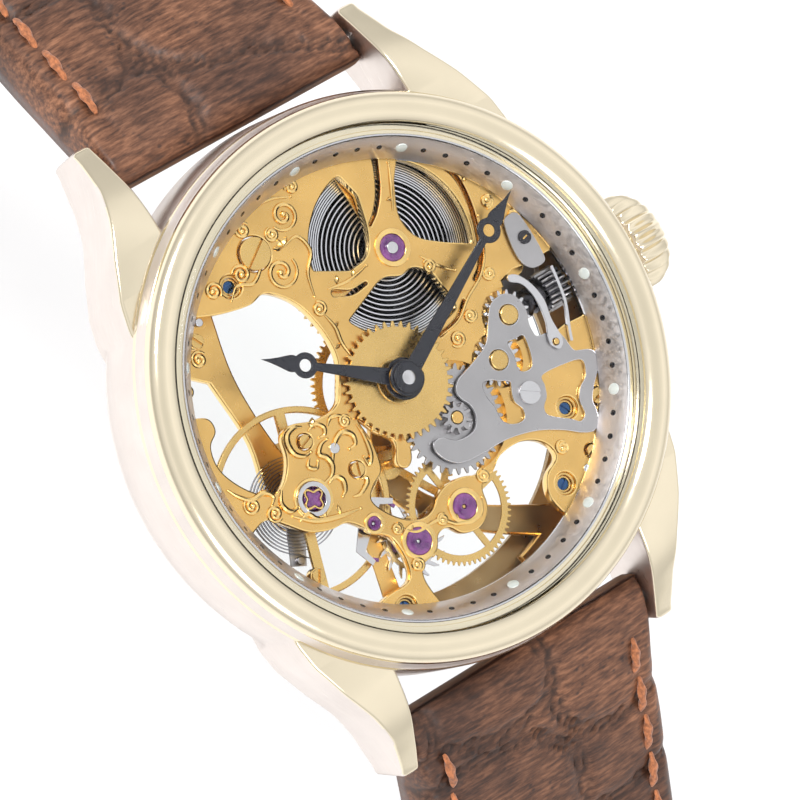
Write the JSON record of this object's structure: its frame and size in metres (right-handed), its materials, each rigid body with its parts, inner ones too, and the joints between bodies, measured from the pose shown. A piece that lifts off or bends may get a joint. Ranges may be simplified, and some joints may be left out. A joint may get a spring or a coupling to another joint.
{
  "type": "skeleton wristwatch",
  "caption": "Hand-wound skeleton wristwatch: round gold-tone case with glazed front and back, openworked going train, leaf-tipped hands, fluted crown and padded leather strap with pin buckle.",
  "frame": {"origin": "centre of the case back's outer flat face, in the plane of the back crystal", "axes": "+Z out through the dial and the front crystal, +Y towards 12 o'clock, +X towards 3 o'clock along the crown"},
  "size_m": [0.0457, 0.1172, 0.1092],
  "materials": {
    "case_gold": "champagne-gold plating, polished with brushed flanks",
    "crystal": "clear mineral crystal",
    "chapter_silver": "satin silvered",
    "rubber": "matt",
    "movement_gold": "engraved gilt",
    "steel": "fine brushed",
    "dark_steel": "oiled, dark",
    "ruby": "synthetic ruby, polished",
    "hand_blue_black": "gloss blue-black",
    "leather": "padded crocodile-grain leather with orange-brown stitching"
  },
  "bodies": {
    "case": {"case_middle": "case_gold", "bezel": "case_gold", "front_crystal": "crystal", "chapter_ring": "chapter_silver", "case_back": "case_gold", "back_crystal": "crystal", "back_gasket": "rubber", "crown_tube": "steel", "movement_ring": "movement_gold", "main_plate": "movement_gold", "barrel_bridge": "movement_gold", "train_bridge": "movement_gold", "balance_cock": "movement_gold", "pallet_bridge": "steel", "stud_carrier": "movement_gold", "barrel_jewel": "ruby", "escape_jewel": "ruby", "fourth_jewel": "ruby", "pallet_jewel": "ruby", "shock_setting": "steel", "cover_plate": "steel", "cover_screw": "steel", "hairspring": "steel", "spring_bar_12": "steel", "spring_bar_6": "steel"},
    "minute_hand": {"minute_hand": "hand_blue_black", "cannon_pinion": "steel"},
    "hour_hand": {"hour_hand": "hand_blue_black", "hour_wheel": "movement_gold"},
    "minute_wheel": {"minute_wheel": "steel"},
    "setting_wheel_1": {"setting_wheel_1": "steel"},
    "setting_wheel_2": {"setting_wheel_2": "steel"},
    "fourth_wheel": {"fourth_wheel": "movement_gold"},
    "third_wheel": {"third_wheel": "movement_gold"},
    "centre_wheel": {"centre_wheel": "movement_gold"},
    "barrel": {"barrel_drum": "movement_gold", "barrel_cover": "movement_gold", "mainspring": "dark_steel"},
    "escape_wheel": {"escape_wheel": "steel"},
    "pallet_fork": {"pallet_fork": "steel"},
    "balance": {"balance_wheel": "movement_gold"},
    "winding_pinion": {"winding_pinion": "dark_steel"},
    "crown_and_stem": {"crown": "case_gold", "stem": "steel"},
    "clutch": {"clutch": "dark_steel"},
    "setting_lever": {"setting_lever": "steel"},
    "yoke": {"yoke": "steel"},
    "crown_wheel": {"crown_wheel": "steel"},
    "ratchet": {"ratchet_wheel": "steel", "barrel_arbor": "steel", "ratchet_screw": "dark_steel"},
    "click": {"click": "steel"},
    "regulator": {"regulator": "steel"},
    "strap_12": {"strap_12": "leather", "fixed_keeper": "leather"},
    "strap_6": {"strap_6": "leather"},
    "buckle": {"buckle_frame": "case_gold", "buckle_bar": "steel"},
    "tang": {"buckle_tang": "case_gold"},
    "sliding_keeper": {"sliding_keeper": "leather"}
  },
  "joints": [
    {"name": "minute_hand_turn", "type": "hinge", "parent": "case", "child": "minute_hand", "pos_m": [0, 0, 0.0096], "axis": [0, 0, -1], "continuous": true},
    {"name": "hour_hand_turn", "type": "hinge", "parent": "case", "child": "hour_hand", "pos_m": [0, 0, 0.009], "axis": [0, 0, -1], "continuous": true},
    {"name": "minute_wheel_turn", "type": "hinge", "parent": "case", "child": "minute_wheel", "pos_m": [0.00269, -0.00445, 0.0074], "axis": [0, 0, -1], "continuous": true},
    {"name": "setting_wheel_1_turn", "type": "hinge", "parent": "case", "child": "setting_wheel_1", "pos_m": [0.00795, -0.00242, 0.0074], "axis": [0, 0, -1], "continuous": true},
    {"name": "setting_wheel_2_turn", "type": "hinge", "parent": "case", "child": "setting_wheel_2", "pos_m": [0.01036, 0.00007, 0.0074], "axis": [0, 0, -1], "continuous": true},
    {"name": "fourth_wheel_turn", "type": "hinge", "parent": "case", "child": "fourth_wheel", "pos_m": [0.00016, -0.01033, 0.0066], "axis": [0, 0, -1], "continuous": true},
    {"name": "third_wheel_turn", "type": "hinge", "parent": "case", "child": "third_wheel", "pos_m": [-0.00239, -0.00523, 0.0048], "axis": [0, 0, -1], "continuous": true},
    {"name": "centre_wheel_turn", "type": "hinge", "parent": "case", "child": "centre_wheel", "pos_m": [0, 0, 0.0042], "axis": [0, 0, -1], "continuous": true},
    {"name": "barrel_turn", "type": "hinge", "parent": "case", "child": "barrel", "pos_m": [0.0047, 0.0085, 0.0055], "axis": [0, 0, -1], "continuous": true},
    {"name": "escape_wheel_turn", "type": "hinge", "parent": "case", "child": "escape_wheel", "pos_m": [-0.00433, -0.01078, 0.0063], "axis": [0, 0, -1], "continuous": true},
    {"name": "pallet_fork_rock", "type": "hinge", "parent": "case", "child": "pallet_fork", "pos_m": [-0.00678, -0.00804, 0.0063], "axis": [0, 0, -1], "range_deg": [-5, 5]},
    {"name": "balance_swing", "type": "hinge", "parent": "case", "child": "balance", "pos_m": [-0.0101, -0.00431, 0.0055], "axis": [0, 0, -1], "range_deg": [-270, 270], "deforming": ["hairspring"]},
    {"name": "crown_turn", "type": "hinge", "parent": "case", "child": "winding_pinion", "pos_m": [0.0152, 0, 0.0062], "axis": [1, 0, 0], "continuous": true},
    {"name": "crown_pull", "type": "slide", "parent": "winding_pinion", "child": "crown_and_stem", "axis": [1, 0, 0], "range_m": [0, 0.0012]},
    {"name": "clutch_slide", "type": "slide", "parent": "winding_pinion", "child": "clutch", "axis": [-1, 0, 0], "range_m": [0, 0.0006]},
    {"name": "setting_lever_turn", "type": "hinge", "parent": "case", "child": "setting_lever", "pos_m": [0.0144, 0.0044, 0.0079], "axis": [0, 0, 1], "range_deg": [0, 15.68]},
    {"name": "yoke_turn", "type": "hinge", "parent": "case", "child": "yoke", "pos_m": [0.0126, -0.00335, 0.0082], "axis": [0, 0, 1], "range_deg": [0, 7.69]},
    {"name": "crown_wheel_turn", "type": "hinge", "parent": "case", "child": "crown_wheel", "pos_m": [0.013, 0.003, 0.003], "axis": [0, 0, -1], "continuous": true},
    {"name": "ratchet_wheel_turn", "type": "hinge", "parent": "case", "child": "ratchet", "pos_m": [0.0047, 0.0085, 0.003], "axis": [0, 0, -1], "continuous": true, "deforming": ["mainspring"]},
    {"name": "click_turn", "type": "hinge", "parent": "case", "child": "click", "pos_m": [0.00047, 0.01644, 0.0029], "axis": [0, 0, 1], "range_deg": [0, 12]},
    {"name": "regulator_turn", "type": "hinge", "parent": "case", "child": "regulator", "pos_m": [-0.0101, -0.00431, 0.003], "axis": [0, 0, -1], "range_deg": [-20, 20]},
    {"name": "strap_12_hinge", "type": "hinge", "parent": "case", "child": "strap_12", "pos_m": [0, 0.0231, 0.0037], "axis": [1, 0, 0], "range_deg": [-40, 30]},
    {"name": "strap_6_hinge", "type": "hinge", "parent": "case", "child": "strap_6", "pos_m": [0, -0.0231, 0.0037], "axis": [-1, 0, 0], "range_deg": [-40, 30]},
    {"name": "buckle_turn", "type": "hinge", "parent": "strap_12", "child": "buckle", "pos_m": [0, 0.05421, -0.05472], "axis": [1, 0, 0], "range_deg": [-45, 45]},
    {"name": "tang_turn", "type": "hinge", "parent": "buckle", "child": "tang", "pos_m": [0, 0.05421, -0.05472], "axis": [1, 0, 0], "range_deg": [0, 60]},
    {"name": "keeper_slide", "type": "slide", "parent": "strap_12", "child": "sliding_keeper", "axis": [0, -0.0349, -0.9994], "range_m": [0, 0.0025]}
  ],
  "couplings": [
    {"joint": "hour_hand_turn", "follows": "minute_hand_turn", "ratio": 0.083333},
    {"joint": "minute_wheel_turn", "follows": "minute_hand_turn", "ratio": -0.33333},
    {"joint": "setting_wheel_1_turn", "follows": "minute_hand_turn", "ratio": 0.75},
    {"joint": "setting_wheel_2_turn", "follows": "minute_hand_turn", "ratio": -0.75},
    {"joint": "third_wheel_turn", "follows": "fourth_wheel_turn", "ratio": -0.13333},
    {"joint": "centre_wheel_turn", "follows": "fourth_wheel_turn", "ratio": 0.016667},
    {"joint": "barrel_turn", "follows": "fourth_wheel_turn", "ratio": -0.0038095},
    {"joint": "escape_wheel_turn", "follows": "fourth_wheel_turn", "ratio": -10},
    {"joint": "clutch_slide", "follows": "crown_pull", "ratio": 0.5},
    {"joint": "setting_lever_turn", "follows": "crown_pull", "rad_per_m": 227.27},
    {"joint": "yoke_turn", "follows": "crown_pull", "rad_per_m": 111.11},
    {"joint": "crown_wheel_turn", "follows": "crown_turn", "ratio": 0.43333},
    {"joint": "ratchet_wheel_turn", "follows": "crown_turn", "ratio": -0.26}
  ]
}
